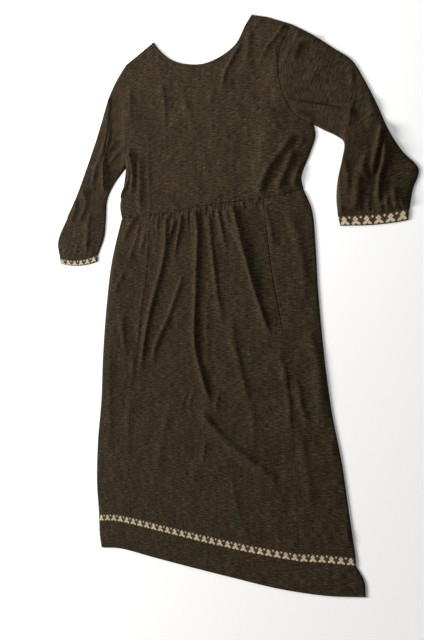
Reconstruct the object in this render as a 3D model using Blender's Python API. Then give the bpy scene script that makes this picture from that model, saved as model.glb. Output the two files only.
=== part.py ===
"""A midi dress of slub jersey with three-quarter sleeves, laid flat and face up on a table.

The plan lies in X and Y with the neck towards +Y, and the table is at Z = 0. Left and
right are as seen from above. The back pieces lie flat on the table, the front pieces
lie on them with their gathers and folds, and each sleeve and cuff is a flattened tube.
"""

import math

import bmesh
import bpy
import numpy as np

# Cloth and seams, in metres
CLOTH = 0.0015
BRAID = 0.0021
SEAM_GAP = 0.00036
LAYER_GAP = 0.0003
TUBE_EDGE = 0.002
BINDING_WIDTH = 0.006
TRIM_HEIGHT = 0.016

# How the front layer lies over the back one
PUFF_HEIGHT = 0.0032
PUFF_REACH = 0.014
SOFT_FLOOR = 0.0008
GATHER_START = 0.014
SEAM_DIP = 0.0010
SEAM_DIP_REACH = 0.008
GATHER_TAIL = 0.75
TROUGH_DEPTH = 0.35
TROUGH_PLACE = 2.2

# Grid of each piece
SIDE_COLUMNS = 6
SIDE_ROWS = 6
ARMHOLE_ROWS = 12
SHOULDER_COLUMNS = 2
SKIRT_ROWS = 20
SKIRT_ROW_CROWDING = 1.6
BAND_ROWS = 3
SKIRT_SPLIT = 2
SLEEVE_SPLIT = 2
SLEEVE_FADE = 2
CUFF_ROWS = 2
CURVE_STEPS = 16
OUTLINE_STEP = 0.022

# Seams and edges of the bodice, as (x, y), upwards or from left to right
SIDE_LEFT = ((-0.234, 0.197), (-0.238, 0.229), (-0.226, 0.269), (-0.218, 0.314))
SIDE_RIGHT = ((0.214, 0.204), (0.211, 0.232), (0.229, 0.272), (0.241, 0.303), (0.239, 0.327))
ARMHOLE_LEFT = (
    (-0.218, 0.314), (-0.209, 0.350), (-0.211, 0.396), (-0.220, 0.438),
    (-0.227, 0.475), (-0.225, 0.515), (-0.213, 0.553),
)
ARMHOLE_RIGHT = (
    (0.239, 0.327), (0.206, 0.351), (0.185, 0.385), (0.174, 0.423),
    (0.171, 0.462), (0.179, 0.500), (0.198, 0.537),
)
BODICE_SEAM_LEFT = (
    (-0.151, 0.195), (-0.151, 0.263), (-0.153, 0.345), (-0.156, 0.430),
    (-0.167, 0.505), (-0.184, 0.565),
)
BODICE_SEAM_RIGHT = ((0.129, 0.197), (0.118, 0.262), (0.121, 0.350), (0.129, 0.450), (0.146, 0.566))
SHOULDER_TIP_LEFT = ((-0.213, 0.553), (-0.184, 0.565))
SHOULDER_TIP_RIGHT = ((0.146, 0.566), (0.198, 0.537))
NECKLINE = (
    (-0.136, 0.586), (-0.117, 0.561), (-0.089, 0.535), (-0.052, 0.516), (-0.006, 0.506),
    (0.038, 0.512), (0.074, 0.530), (0.095, 0.561), (0.112, 0.581),
)

# The waist seam, in the three stretches between its princess seams
WAIST_LEFT = ((-0.234, 0.197), (-0.192, 0.195), (-0.151, 0.195))
WAIST_CENTRE = ((-0.151, 0.195), (-0.090, 0.193), (-0.030, 0.198), (0.050, 0.198), (0.129, 0.197))
WAIST_RIGHT = ((0.129, 0.197), (0.172, 0.199), (0.214, 0.204))

# Seams and edges of the skirt, upwards or from left to right
SKIRT_SIDE_LEFT = (
    (-0.315, -0.492), (-0.320, -0.415), (-0.315, -0.320), (-0.303, -0.225),
    (-0.295, -0.110), (-0.281, 0.010), (-0.264, 0.103), (-0.234, 0.197),
)
SKIRT_SIDE_RIGHT = (
    (0.299, -0.498), (0.289, -0.421), (0.277, -0.325), (0.260, -0.230),
    (0.248, -0.125), (0.239, 0.000), (0.236, 0.090), (0.231, 0.158), (0.214, 0.204),
)
SKIRT_SEAM_LEFT = (
    (-0.218, -0.487), (-0.221, -0.345), (-0.209, -0.205), (-0.187, -0.050),
    (-0.166, 0.070), (-0.151, 0.195),
)
SKIRT_SEAM_RIGHT = (
    (0.189, -0.507), (0.186, -0.375), (0.179, -0.200), (0.164, -0.070),
    (0.143, 0.055), (0.129, 0.197),
)
TRIM_LEFT = ((-0.315, -0.492), (-0.267, -0.486), (-0.218, -0.487))
TRIM_CENTRE = (
    (-0.218, -0.487), (-0.120, -0.494), (-0.020, -0.501), (0.085, -0.506), (0.189, -0.507),
)
TRIM_RIGHT = ((0.189, -0.507), (0.245, -0.501), (0.299, -0.498))
BAND_SIDE_LEFT = ((-0.309, -0.569), (-0.314, -0.540))
BAND_SIDE_RIGHT = ((0.316, -0.568), (0.314, -0.540))
HEM = (
    (-0.309, -0.569), (-0.250, -0.563), (-0.160, -0.569), (-0.060, -0.575),
    (0.040, -0.580), (0.140, -0.584), (0.235, -0.580), (0.316, -0.568),
)

# Edges of the sleeves, from the shoulder or the underarm down to the cuff
SLEEVE_LEFT_INNER = (
    (-0.218, 0.314), (-0.241, 0.294), (-0.262, 0.271), (-0.277, 0.243),
    (-0.281, 0.203), (-0.287, 0.160), (-0.307, 0.118),
)
SLEEVE_LEFT_OUTER = (
    (-0.213, 0.553), (-0.244, 0.520), (-0.268, 0.482), (-0.291, 0.428), (-0.315, 0.372),
    (-0.342, 0.317), (-0.371, 0.262), (-0.404, 0.212), (-0.432, 0.163), (-0.427, 0.120),
)
SLEEVE_RIGHT_INNER = (
    (0.239, 0.327), (0.260, 0.312), (0.282, 0.298), (0.298, 0.281), (0.293, 0.250),
    (0.284, 0.215), (0.280, 0.180), (0.282, 0.143),
)
SLEEVE_RIGHT_OUTER = (
    (0.198, 0.537), (0.243, 0.503), (0.282, 0.468), (0.317, 0.436), (0.341, 0.391),
    (0.362, 0.343), (0.382, 0.291), (0.406, 0.247), (0.433, 0.211), (0.422, 0.176), (0.415, 0.141),
)
CUFF_LEFT_TOP = ((-0.307, 0.118), (-0.335, 0.112), (-0.368, 0.110), (-0.400, 0.114), (-0.427, 0.120))
CUFF_LEFT_EDGE = ((-0.308, 0.103), (-0.337, 0.098), (-0.368, 0.097), (-0.398, 0.100), (-0.423, 0.106))
CUFF_RIGHT_TOP = ((0.282, 0.143), (0.315, 0.140), (0.348, 0.138), (0.382, 0.138), (0.415, 0.141))
CUFF_RIGHT_EDGE = ((0.286, 0.124), (0.318, 0.121), (0.348, 0.119), (0.381, 0.119), (0.412, 0.121))

# Gathers of the centre skirt at the waist: where each stands on the seam, how far its
# foot leans, its length, height and half width
GATHERS = (
    # x, lean, length, height, half_width
    (-0.142, -0.006, 0.050, 0.0020, 0.0055),
    (-0.129, -0.012, 0.085, 0.0026, 0.0055),
    (-0.112, -0.020, 0.120, 0.0034, 0.0065),
    (-0.098, -0.008, 0.060, 0.0024, 0.0055),
    (-0.085, -0.016, 0.110, 0.0036, 0.0060),
    (-0.070, -0.007, 0.070, 0.0026, 0.0055),
    (-0.056, -0.004, 0.055, 0.0030, 0.0055),
    (-0.039, -0.002, 0.110, 0.0028, 0.0065),
    (-0.020, 0.002, 0.060, 0.0024, 0.0055),
    (-0.004, 0.016, 0.120, 0.0036, 0.0060),
    (0.012, 0.010, 0.075, 0.0026, 0.0055),
    (0.029, 0.004, 0.055, 0.0024, 0.0055),
    (0.045, 0.003, 0.115, 0.0034, 0.0065),
    (0.062, 0.022, 0.110, 0.0026, 0.0065),
    (0.078, 0.013, 0.070, 0.0028, 0.0055),
    (0.092, 0.012, 0.090, 0.0026, 0.0055),
    (0.106, 0.006, 0.060, 0.0024, 0.0055),
    (0.119, 0.004, 0.045, 0.0018, 0.0050),
)

# Gathers above each cuff, from the inner edge outwards: place on the seam from 0 to 1,
# lean of the upper end, length, height and half width
CUFF_GATHERS_LEFT = (
    # place, lean, length, height, half_width
    (0.14, 0.008, 0.050, 0.0018, 0.0055),
    (0.29, 0.014, 0.075, 0.0024, 0.0065),
    (0.44, 0.022, 0.060, 0.0020, 0.0060),
    (0.60, 0.030, 0.090, 0.0026, 0.0070),
    (0.75, 0.020, 0.055, 0.0020, 0.0060),
    (0.88, 0.014, 0.045, 0.0016, 0.0055),
)
CUFF_GATHERS_RIGHT = (
    # place, lean, length, height, half_width
    (0.10, 0.000, 0.050, 0.0020, 0.0060),
    (0.22, 0.002, 0.080, 0.0028, 0.0065),
    (0.34, 0.003, 0.055, 0.0024, 0.0060),
    (0.46, 0.006, 0.070, 0.0030, 0.0065),
    (0.70, 0.008, 0.060, 0.0028, 0.0065),
    (0.81, 0.010, 0.050, 0.0024, 0.0060),
    (0.92, 0.010, 0.040, 0.0018, 0.0055),
)

# Folds and creases: the crest's two ends, how far its middle bows to the right of the
# line between them, half widths on the left and right slopes (looking along it), its
# height, and the shares of its length over which it rises and fades away
FOLDS = (
    # x0, y0, x1, y1, bow, left, right, height, lead, tail
    # centre skirt, from the gathers down
    (-0.037, 0.195, -0.041, -0.075, 0.002, 0.015, 0.0090, 0.0076, 0.16, 0.20),
    (-0.041, -0.035, -0.001, -0.225, -0.007, 0.014, 0.0095, 0.0050, 0.25, 0.35),
    (-0.010, -0.215, 0.135, -0.352, -0.008, 0.014, 0.0100, 0.0042, 0.25, 0.50),
    (-0.112, 0.190, -0.206, -0.230, 0.004, 0.017, 0.0100, 0.0064, 0.14, 0.55),
    (0.060, 0.195, 0.136, -0.095, -0.005, 0.018, 0.0105, 0.0070, 0.16, 0.50),
    (0.000, 0.185, 0.036, -0.005, 0.003, 0.011, 0.0080, 0.0034, 0.10, 0.60),
    (-0.084, 0.180, -0.103, 0.080, 0.000, 0.010, 0.0080, 0.0024, 0.10, 0.60),
    (0.045, 0.180, 0.062, -0.155, -0.004, 0.014, 0.0110, 0.0032, 0.10, 0.55),
    (0.048, -0.095, 0.086, -0.235, 0.004, 0.013, 0.0100, 0.0020, 0.35, 0.40),
    (-0.046, -0.170, -0.090, -0.245, 0.000, 0.010, 0.0080, 0.0018, 0.30, 0.45),
    (-0.004, -0.262, -0.036, -0.375, 0.000, 0.012, 0.0090, 0.0018, 0.30, 0.45),
    (0.132, -0.352, 0.114, -0.430, 0.000, 0.012, 0.0100, 0.0016, 0.30, 0.45),
    (-0.165, -0.380, -0.012, -0.426, 0.006, 0.018, 0.0160, 0.0018, 0.30, 0.40),
    # side panels of the skirt
    (-0.203, 0.185, -0.263, 0.025, 0.005, 0.013, 0.0085, 0.0040, 0.08, 0.50),
    (-0.178, 0.190, -0.196, 0.090, 0.002, 0.010, 0.0080, 0.0018, 0.10, 0.50),
    (-0.232, -0.020, -0.236, -0.125, 0.000, 0.013, 0.0100, 0.0018, 0.35, 0.45),
    (-0.262, -0.270, -0.268, -0.440, 0.003, 0.016, 0.0130, 0.0014, 0.30, 0.30),
    (0.176, -0.140, 0.213, -0.264, 0.003, 0.014, 0.0110, 0.0020, 0.35, 0.40),
    (0.198, 0.095, 0.240, -0.300, 0.008, 0.018, 0.0150, 0.0032, 0.25, 0.30),
    (0.150, 0.175, 0.160, 0.060, 0.003, 0.012, 0.0100, 0.0016, 0.15, 0.50),
    # bodice
    (0.208, 0.332, 0.114, 0.214, 0.003, 0.014, 0.0090, 0.0060, 0.25, 0.30),
    (0.192, 0.272, 0.152, 0.214, 0.002, 0.011, 0.0080, 0.0040, 0.30, 0.35),
    (0.072, 0.505, 0.014, 0.405, 0.006, 0.011, 0.0080, 0.0036, 0.20, 0.50),
    (0.112, 0.552, 0.090, 0.455, 0.000, 0.012, 0.0090, 0.0022, 0.20, 0.55),
    (0.182, 0.534, 0.128, 0.462, 0.006, 0.012, 0.0080, 0.0034, 0.20, 0.50),
    (0.128, 0.560, 0.108, 0.480, 0.000, 0.010, 0.0080, 0.0018, 0.20, 0.50),
    (-0.113, 0.480, -0.114, 0.390, 0.000, 0.012, 0.0090, 0.0014, 0.30, 0.40),
    (-0.058, 0.488, -0.018, 0.335, -0.006, 0.013, 0.0090, 0.0018, 0.25, 0.45),
    (-0.178, 0.500, -0.172, 0.330, 0.000, 0.014, 0.0120, 0.0016, 0.30, 0.35),
    (-0.214, 0.328, -0.208, 0.262, -0.010, 0.009, 0.0070, 0.0032, 0.20, 0.30),
    (-0.190, 0.318, -0.196, 0.240, 0.004, 0.010, 0.0070, 0.0020, 0.25, 0.45),
    # left sleeve: its main layer ends in the long crease beside the armhole
    (-0.262, 0.500, -0.279, 0.285, 0.005, 0.050, 0.0060, 0.0046, 0.18, 0.15),
    (-0.300, 0.345, -0.345, 0.205, 0.004, 0.015, 0.0110, 0.0020, 0.30, 0.40),
    (-0.352, 0.262, -0.392, 0.165, 0.003, 0.013, 0.0100, 0.0020, 0.30, 0.40),
    (-0.292, 0.262, -0.322, 0.160, 0.000, 0.012, 0.0090, 0.0018, 0.30, 0.40),
    # right sleeve
    (0.378, 0.318, 0.350, 0.165, 0.005, 0.010, 0.0085, 0.0070, 0.20, 0.20),
    (0.404, 0.240, 0.388, 0.160, 0.002, 0.010, 0.0080, 0.0036, 0.25, 0.30),
    (0.342, 0.345, 0.330, 0.180, 0.004, 0.016, 0.0120, 0.0034, 0.30, 0.35),
    (0.300, 0.250, 0.308, 0.160, 0.000, 0.010, 0.0090, 0.0022, 0.30, 0.35),
    (0.324, 0.432, 0.301, 0.290, 0.006, 0.018, 0.0090, 0.0026, 0.20, 0.25),
    (0.192, 0.388, 0.338, 0.338, -0.006, 0.012, 0.0100, 0.0024, 0.15, 0.25),
    (0.246, 0.482, 0.204, 0.470, 0.000, 0.013, 0.0100, 0.0024, 0.30, 0.35),
)

# Colours, linear
BROWN_JERSEY = (0.047, 0.034, 0.021)
BRAID_MIX = (0.330, 0.255, 0.185)
CLOTH_ROUGHNESS = 0.88
BRAID_ROUGHNESS = 0.78
SHARP_ANGLE = math.radians(50)


# Curves and outlines

def smooth(points):
    """A fine smooth curve through a table's points, and how far along it each of its points is."""
    knots = np.array(points, float)
    padded = np.vstack([2 * knots[0] - knots[1], knots, 2 * knots[-1] - knots[-2]])
    steps = np.linspace(0, 1, CURVE_STEPS + 1)[:, None]
    spans = []
    for before, start, end, after in zip(padded, padded[1:], padded[2:], padded[3:]):
        bend = 2 * before - 5 * start + 4 * end - after
        turn = 3 * start - before - 3 * end + after
        spans.append(0.5 * (2 * start + (end - before) * steps + bend * steps**2 + turn * steps**3))
    curve = np.vstack([span[:-1] for span in spans] + [knots[-1:]])
    return curve, np.append(0, np.cumsum(np.linalg.norm(np.diff(curve, axis=0), axis=1)))


def along(points, fractions):
    """Points at these fractions of the length of the smooth curve."""
    curve, reach = smooth(points)
    places = np.array(fractions) * reach[-1]
    return np.column_stack([np.interp(places, reach, curve[:, axis]) for axis in (0, 1)])


def evenly(points, count):
    """The smooth curve in count equal steps."""
    return along(points, np.linspace(0, 1, count + 1))


def stepped(points):
    """The smooth curve in steps near the outline's own."""
    return evenly(points, math.ceil(smooth(points)[1][-1] / OUTLINE_STEP))


def chain(*stretches):
    """Stretches of one edge, end to end."""
    return np.vstack([stretches[0]] + [stretch[1:] for stretch in stretches[1:]])


def split(edge, parts):
    """The same straight-sided edge with each of its steps cut into parts."""
    places = np.linspace(0, len(edge) - 1, (len(edge) - 1) * parts + 1)
    return np.column_stack([np.interp(places, range(len(edge)), edge[:, axis]) for axis in (0, 1)])


def beside(edge, distance):
    """The edge moved sideways, to the right of its own direction."""
    run = np.gradient(edge, axis=0)
    run /= np.linalg.norm(run, axis=1)[:, None]
    return edge + distance * np.column_stack([run[:, 1], -run[:, 0]])


def shares(edge):
    """How far along the edge each of its points lies, from 0 to 1."""
    reach = np.append(0, np.cumsum(np.linalg.norm(np.diff(edge, axis=0), axis=1)))
    return reach / reach[-1]


def spread(left, right, bottom, top, fade=1):
    """Plan of a piece between its four edges, by row and column, from the bottom edge up."""
    across = ((shares(bottom) + shares(top)) / 2)[None, :, None]
    up = ((shares(left) + shares(right)) / 2)[:, None, None]
    straight = (1 - across) * left[:, None] + across * right[:, None]
    bottom_bow = bottom - (bottom[0] + across[0] * (bottom[-1] - bottom[0]))
    top_bow = top - (top[0] + across[0] * (top[-1] - top[0]))
    return straight + (1 - up) ** fade * bottom_bow + up**fade * top_bow


def seam_allowed(plan):
    """The plan drawn in by half a seam gap along its rim."""
    drawn = plan.copy()
    for rim, inside in ((0, 1), (-1, -2)):
        inward = plan[inside] - plan[rim]
        drawn[rim] += SEAM_GAP / 2 * inward / np.linalg.norm(inward, axis=1)[:, None]
        inward = plan[:, inside] - plan[:, rim]
        drawn[:, rim] += SEAM_GAP / 2 * inward / np.linalg.norm(inward, axis=1)[:, None]
    return drawn


# The dress's edges, shared by the pieces that meet at them

waist_start, waist_end = WAIST_CENTRE[0][0], WAIST_CENTRE[-1][0]
crests = [(gather[0] - waist_start) / (waist_end - waist_start) for gather in GATHERS]
gather_places = np.array([0, *crests, 1])
centre_columns = len(gather_places) - 1
neck_columns = centre_columns - 2 * SHOULDER_COLUMNS

side_left = chain(evenly(SIDE_LEFT, SIDE_ROWS), evenly(ARMHOLE_LEFT, ARMHOLE_ROWS))
side_right = chain(evenly(SIDE_RIGHT, SIDE_ROWS), evenly(ARMHOLE_RIGHT, ARMHOLE_ROWS))
bodice_seam_left = evenly(BODICE_SEAM_LEFT, SIDE_ROWS + ARMHOLE_ROWS)
bodice_seam_right = evenly(BODICE_SEAM_RIGHT, SIDE_ROWS + ARMHOLE_ROWS)
waist_left = evenly(WAIST_LEFT, SIDE_COLUMNS)
waist_centre = along(WAIST_CENTRE, gather_places)
waist_right = evenly(WAIST_RIGHT, SIDE_COLUMNS)
shoulder_tip_left = evenly(SHOULDER_TIP_LEFT, SIDE_COLUMNS)
shoulder_tip_right = evenly(SHOULDER_TIP_RIGHT, SIDE_COLUMNS)
neckline = evenly(NECKLINE, neck_columns)
neck_seam = beside(neckline, BINDING_WIDTH)
bodice_top = chain(
    evenly((SHOULDER_TIP_LEFT[-1], neck_seam[0]), SHOULDER_COLUMNS),
    neck_seam,
    evenly((neck_seam[-1], SHOULDER_TIP_RIGHT[0]), SHOULDER_COLUMNS),
)

skirt_places = 1 - (1 - np.linspace(0, 1, SKIRT_ROWS + 1)) ** SKIRT_ROW_CROWDING
skirt_side_left = along(SKIRT_SIDE_LEFT, skirt_places)
skirt_side_right = along(SKIRT_SIDE_RIGHT, skirt_places)
skirt_seam_left = along(SKIRT_SEAM_LEFT, skirt_places)
skirt_seam_right = along(SKIRT_SEAM_RIGHT, skirt_places)
trim_left = evenly(TRIM_LEFT, SIDE_COLUMNS)
trim_centre = evenly(TRIM_CENTRE, centre_columns)
trim_right = evenly(TRIM_RIGHT, SIDE_COLUMNS)
trim_top = chain(trim_left, trim_centre, trim_right)
trim_foot = trim_top - (0, TRIM_HEIGHT)
band_side_left = evenly((*BAND_SIDE_LEFT, trim_foot[0]), BAND_ROWS)
band_side_right = evenly((*BAND_SIDE_RIGHT, trim_foot[-1]), BAND_ROWS)
hem = evenly(HEM, len(trim_top) - 1)

silhouette = chain(
    stepped(NECKLINE),
    stepped(SHOULDER_TIP_RIGHT),
    stepped(SLEEVE_RIGHT_OUTER),
    stepped(CUFF_RIGHT_EDGE)[::-1],
    stepped(SLEEVE_RIGHT_INNER)[::-1],
    stepped(SIDE_RIGHT)[::-1],
    stepped(SKIRT_SIDE_RIGHT)[::-1],
    band_side_right[::-1],
    stepped(HEM)[::-1],
    band_side_left,
    stepped(SKIRT_SIDE_LEFT),
    stepped(SIDE_LEFT),
    stepped(SLEEVE_LEFT_INNER),
    stepped(CUFF_LEFT_EDGE),
    stepped(SLEEVE_LEFT_OUTER)[::-1],
    stepped(SHOULDER_TIP_LEFT),
    stepped(NECKLINE)[:1],
)


# How high the front layer lies

def distance_to(points, edge):
    """Distance of each plan point from a straight-sided edge."""
    nearest = np.full(len(points), np.inf)
    for start, end in zip(edge, edge[1:]):
        run = end - start
        share = np.clip((points - start) @ run / max(run @ run, 1e-12), 0, 1)
        away = points - start - share[:, None] * run
        nearest = np.minimum(nearest, np.linalg.norm(away, axis=1))
    return nearest


def eased(share):
    """A smooth rise from 0 to 1."""
    share = np.clip(share, 0, 1)
    return share * share * (3 - 2 * share)


def fold_height(points, x0, y0, x1, y1, bow, left, right, height, lead, tail):
    """A soft ridge along its crest, with a shallower trough beside its right slope."""
    start = np.array((x0, y0))
    run = np.array((x1, y1)) - start
    length = math.hypot(*run)
    run /= length
    share = (points - start) @ run / length
    middle = np.clip(share, 0, 1)
    aside = (points - start) @ np.array((-run[1], run[0])) - 4 * bow * middle * (1 - middle)
    ridge = np.exp(-((aside / np.where(aside < 0, left, right)) ** 2))
    trough = TROUGH_DEPTH * np.exp(-((aside / right - TROUGH_PLACE) ** 2))
    return height * (ridge - trough) * eased(share / lead) * eased((1 - share) / tail)


def gather_folds():
    """The waist and cuff gathers, written as folds that start at their seam."""
    for x, lean, length, height, half_width in GATHERS:
        waist = np.interp(x, waist_centre[:, 0], waist_centre[:, 1])
        lead = GATHER_START / length
        yield x, waist, x + lean, waist - length, 0, half_width, half_width, height, lead, GATHER_TAIL
    for seam, gathers in ((CUFF_LEFT_TOP, CUFF_GATHERS_LEFT), (CUFF_RIGHT_TOP, CUFF_GATHERS_RIGHT)):
        for place, lean, length, height, half_width in gathers:
            x, y = along(seam, [place])[0]
            lead = GATHER_START / length
            yield x, y, x + lean, y + length, 0, half_width, half_width, height, lead, GATHER_TAIL


all_folds = list(FOLDS) + list(gather_folds())
pulled_in = (
    chain(waist_left, waist_centre, waist_right),
    bodice_seam_left,
    bodice_seam_right,
    skirt_seam_left,
    skirt_seam_right,
    side_left[SIDE_ROWS:],
    side_right[SIDE_ROWS:],
)


def cover(plan):
    """Height of the front layer's underside over each point of a plan."""
    points = plan.reshape(-1, 2)
    edge = distance_to(points, silhouette)
    rise = PUFF_HEIGHT * (1 - np.exp(-edge / PUFF_REACH))
    for fold in all_folds:
        rise += fold_height(points, *fold) * eased(edge / PUFF_REACH)
    for seam in pulled_in:
        rise -= SEAM_DIP * np.exp(-((distance_to(points, seam) / SEAM_DIP_REACH) ** 2))
    rise = 0.5 * (rise + np.sqrt(rise**2 + SOFT_FLOOR**2))
    return (CLOTH + LAYER_GAP + rise).reshape(plan.shape[:2])


# Making the pieces

def make_material(name, colour, roughness):
    material = bpy.data.materials.new(name)
    material.use_nodes = True
    surface = material.node_tree.nodes["Principled BSDF"]
    surface.inputs["Base Color"].default_value = (*colour, 1)
    surface.inputs["Roughness"].default_value = roughness
    surface.inputs["Metallic"].default_value = 0
    material.diffuse_color = (*colour, 1)
    return material


def finish(name, bm, colour, roughness):
    """Turns a bmesh into a named object of the dress."""
    bmesh.ops.recalc_face_normals(bm, faces=bm.faces[:])
    mesh = bpy.data.meshes.new(name)
    bm.to_mesh(mesh)
    bm.free()
    mesh.shade_smooth()
    mesh.set_sharp_from_angle(angle=SHARP_ANGLE)
    mesh.materials.append(make_material(name, colour, roughness))
    dress.objects.link(bpy.data.objects.new(name, mesh))


def panel(name, plan, on_top, wall=CLOTH, colour=BROWN_JERSEY, roughness=CLOTH_ROUGHNESS):
    """A cut piece of one layer: a grid laid to its plan and thickened upwards."""
    plan = seam_allowed(plan)
    rows, columns = plan.shape[0] - 1, plan.shape[1] - 1
    heights = cover(plan) if on_top else np.zeros(plan.shape[:2])
    bm = bmesh.new()
    bmesh.ops.create_grid(bm, x_segments=columns, y_segments=rows, size=0.5)
    for vert in bm.verts:
        row = round((vert.co.y + 0.5) * rows)
        column = round((vert.co.x + 0.5) * columns)
        vert.co = (*plan[row, column], heights[row, column])
    thickened = bmesh.ops.extrude_face_region(bm, geom=bm.faces[:], use_keep_orig=True)
    upper = [item for item in thickened["geom"] if isinstance(item, bmesh.types.BMVert)]
    bmesh.ops.translate(bm, vec=(0, 0, wall), verts=upper)
    finish(name, bm, colour, roughness)


def tube(name, plan, wall=CLOTH, colour=BROWN_JERSEY, roughness=CLOTH_ROUGHNESS):
    """A flattened tube, open at both ends: a loft of rings, each across, round and back under."""
    plan = seam_allowed(plan)
    hollow = plan.copy()
    for rim, inside in ((0, 1), (-1, -2)):
        inward = plan[:, inside] - plan[:, rim]
        hollow[:, rim] += TUBE_EDGE * inward / np.linalg.norm(inward, axis=1)[:, None]
    bm = bmesh.new()
    rings = []
    for outline, top, under in (
        (plan, cover(plan) + wall, 0),
        (hollow, cover(hollow), CLOTH),
    ):
        skin = []
        for row, heights in zip(outline, top):
            over = [bm.verts.new((x, y, z)) for (x, y), z in zip(row, heights)]
            back = [bm.verts.new((x, y, under)) for x, y in row[::-1]]
            skin.append(over + back)
        rings.append(skin)
    around = range(len(rings[0][0]))
    for skin in rings:
        for ring, following in zip(skin, skin[1:]):
            for place in around:
                bm.faces.new((ring[place - 1], ring[place], following[place], following[place - 1]))
    for end in (0, -1):
        outer, inner = rings[0][end], rings[1][end]
        for place in around:
            bm.faces.new((outer[place - 1], outer[place], inner[place], inner[place - 1]))
    finish(name, bm, colour, roughness)


def make_bodice():
    left = spread(side_left, bodice_seam_left, waist_left, shoulder_tip_left)
    right = spread(bodice_seam_right, side_right, waist_right, shoulder_tip_right)
    panel("bodice_front_left", left, on_top=True)
    panel("bodice_front_right", right, on_top=True)
    panel(
        "bodice_front_centre",
        spread(bodice_seam_left, bodice_seam_right, waist_centre, bodice_top),
        on_top=True,
    )
    waist = chain(waist_left, waist_centre, waist_right)
    top = chain(shoulder_tip_left, bodice_top, shoulder_tip_right)
    panel("bodice_back", spread(side_left, side_right, waist, top), on_top=False)
    binding = np.stack([neck_seam, neckline])
    panel("neck_binding_front", binding, on_top=True, wall=BRAID)
    panel("neck_binding_back", binding, on_top=False)


def make_skirt():
    panel(
        "skirt_front_left",
        spread(skirt_side_left, skirt_seam_left, trim_left, waist_left),
        on_top=True,
    )
    panel(
        "skirt_front_centre",
        spread(
            skirt_seam_left,
            skirt_seam_right,
            split(trim_centre, SKIRT_SPLIT),
            split(waist_centre, SKIRT_SPLIT),
        ),
        on_top=True,
    )
    panel(
        "skirt_front_right",
        spread(skirt_seam_right, skirt_side_right, trim_right, waist_right),
        on_top=True,
    )
    waist = chain(waist_left, waist_centre, waist_right)
    panel("skirt_back", spread(skirt_side_left, skirt_side_right, trim_top, waist), on_top=False)


def make_hem():
    trim = np.stack([trim_foot, trim_top])
    band = spread(band_side_left, band_side_right, hem, trim_foot)
    panel("hem_trim_front", trim, True, BRAID, BRAID_MIX, BRAID_ROUGHNESS)
    panel("hem_trim_back", trim, False, CLOTH, BRAID_MIX, BRAID_ROUGHNESS)
    panel("hem_band_front", band, on_top=True)
    panel("hem_band_back", band, on_top=False)


def make_sleeve(side, armhole, inner, outer, seam, edge, rows, inner_lag):
    """One sleeve and its cuff. The inner edge starts slowly, so its rows fan round the underarm."""
    places = np.linspace(0, 1, rows + 1)
    head = split(armhole, SLEEVE_SPLIT)
    columns = len(head) - 1
    cuff_seam = evenly(seam, columns)
    cuff_edge = evenly(edge, columns)
    inner_edge = along(inner, places**inner_lag)
    plan = spread(inner_edge, along(outer, places), head, cuff_seam, SLEEVE_FADE)
    tube(f"sleeve_{side}", plan)
    cuff_side, cuff_far_side = (
        evenly((cuff_seam[end], cuff_edge[end]), CUFF_ROWS) for end in (0, -1)
    )
    cuff = spread(cuff_side, cuff_far_side, cuff_seam, cuff_edge)
    tube(f"cuff_{side}", cuff, BRAID, BRAID_MIX, BRAID_ROUGHNESS)


def clear_scene():
    for item in list(bpy.data.objects):
        bpy.data.objects.remove(item, do_unlink=True)


clear_scene()
dress = bpy.data.collections.new("midi_dress")
bpy.context.scene.collection.children.link(dress)
make_bodice()
make_skirt()
make_hem()
make_sleeve(
    "left", side_left[SIDE_ROWS:], SLEEVE_LEFT_INNER, SLEEVE_LEFT_OUTER,
    CUFF_LEFT_TOP, CUFF_LEFT_EDGE, rows=16, inner_lag=1.8,
)
make_sleeve(
    "right", side_right[SIDE_ROWS:], SLEEVE_RIGHT_INNER, SLEEVE_RIGHT_OUTER,
    CUFF_RIGHT_TOP, CUFF_RIGHT_EDGE, rows=20, inner_lag=1.3,
)
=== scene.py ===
"""A midi dress of slub jersey with a braid border, laid flat and face up on a pale floor.

X runs to the right as seen from above, Y towards the neck and Z up from the floor.
Everything is in metres but the tables inside mm() and folds_mm(). The pieces are made
in the order in which the dress is put together.
"""

import math

import bmesh
import bpy
import numpy as np
from mathutils import Matrix, Vector


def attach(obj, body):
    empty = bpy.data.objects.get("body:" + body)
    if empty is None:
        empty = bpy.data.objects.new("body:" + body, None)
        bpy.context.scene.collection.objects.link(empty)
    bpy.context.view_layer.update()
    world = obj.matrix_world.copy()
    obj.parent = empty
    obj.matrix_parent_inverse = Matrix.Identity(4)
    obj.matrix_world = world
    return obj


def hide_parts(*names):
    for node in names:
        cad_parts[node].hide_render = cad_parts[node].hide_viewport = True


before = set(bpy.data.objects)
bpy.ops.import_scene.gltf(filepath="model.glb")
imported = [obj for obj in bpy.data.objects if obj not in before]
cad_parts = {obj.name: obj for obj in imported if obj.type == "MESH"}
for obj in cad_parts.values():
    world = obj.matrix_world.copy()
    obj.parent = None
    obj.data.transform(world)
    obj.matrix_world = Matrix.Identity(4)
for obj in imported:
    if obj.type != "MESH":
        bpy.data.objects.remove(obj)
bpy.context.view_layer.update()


# The camera
# The dress is seen from above and from about thirty degrees to the right of square, close
# enough for its hem and far cuff to shrink. The three axes are the camera's own.
CAMERA_PLACE = (0.6544, -0.0837, 1.1476)
CAMERA_RIGHT = (0.8683526, -0.0206444, -0.4955174)
CAMERA_UP = (0.0320252, 0.9993821, 0.0144849)
CAMERA_BACK = (0.4949122, -0.0284471, 0.8684772)
CAMERA_LENS = 35
CAMERA_SENSOR = 36

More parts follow.
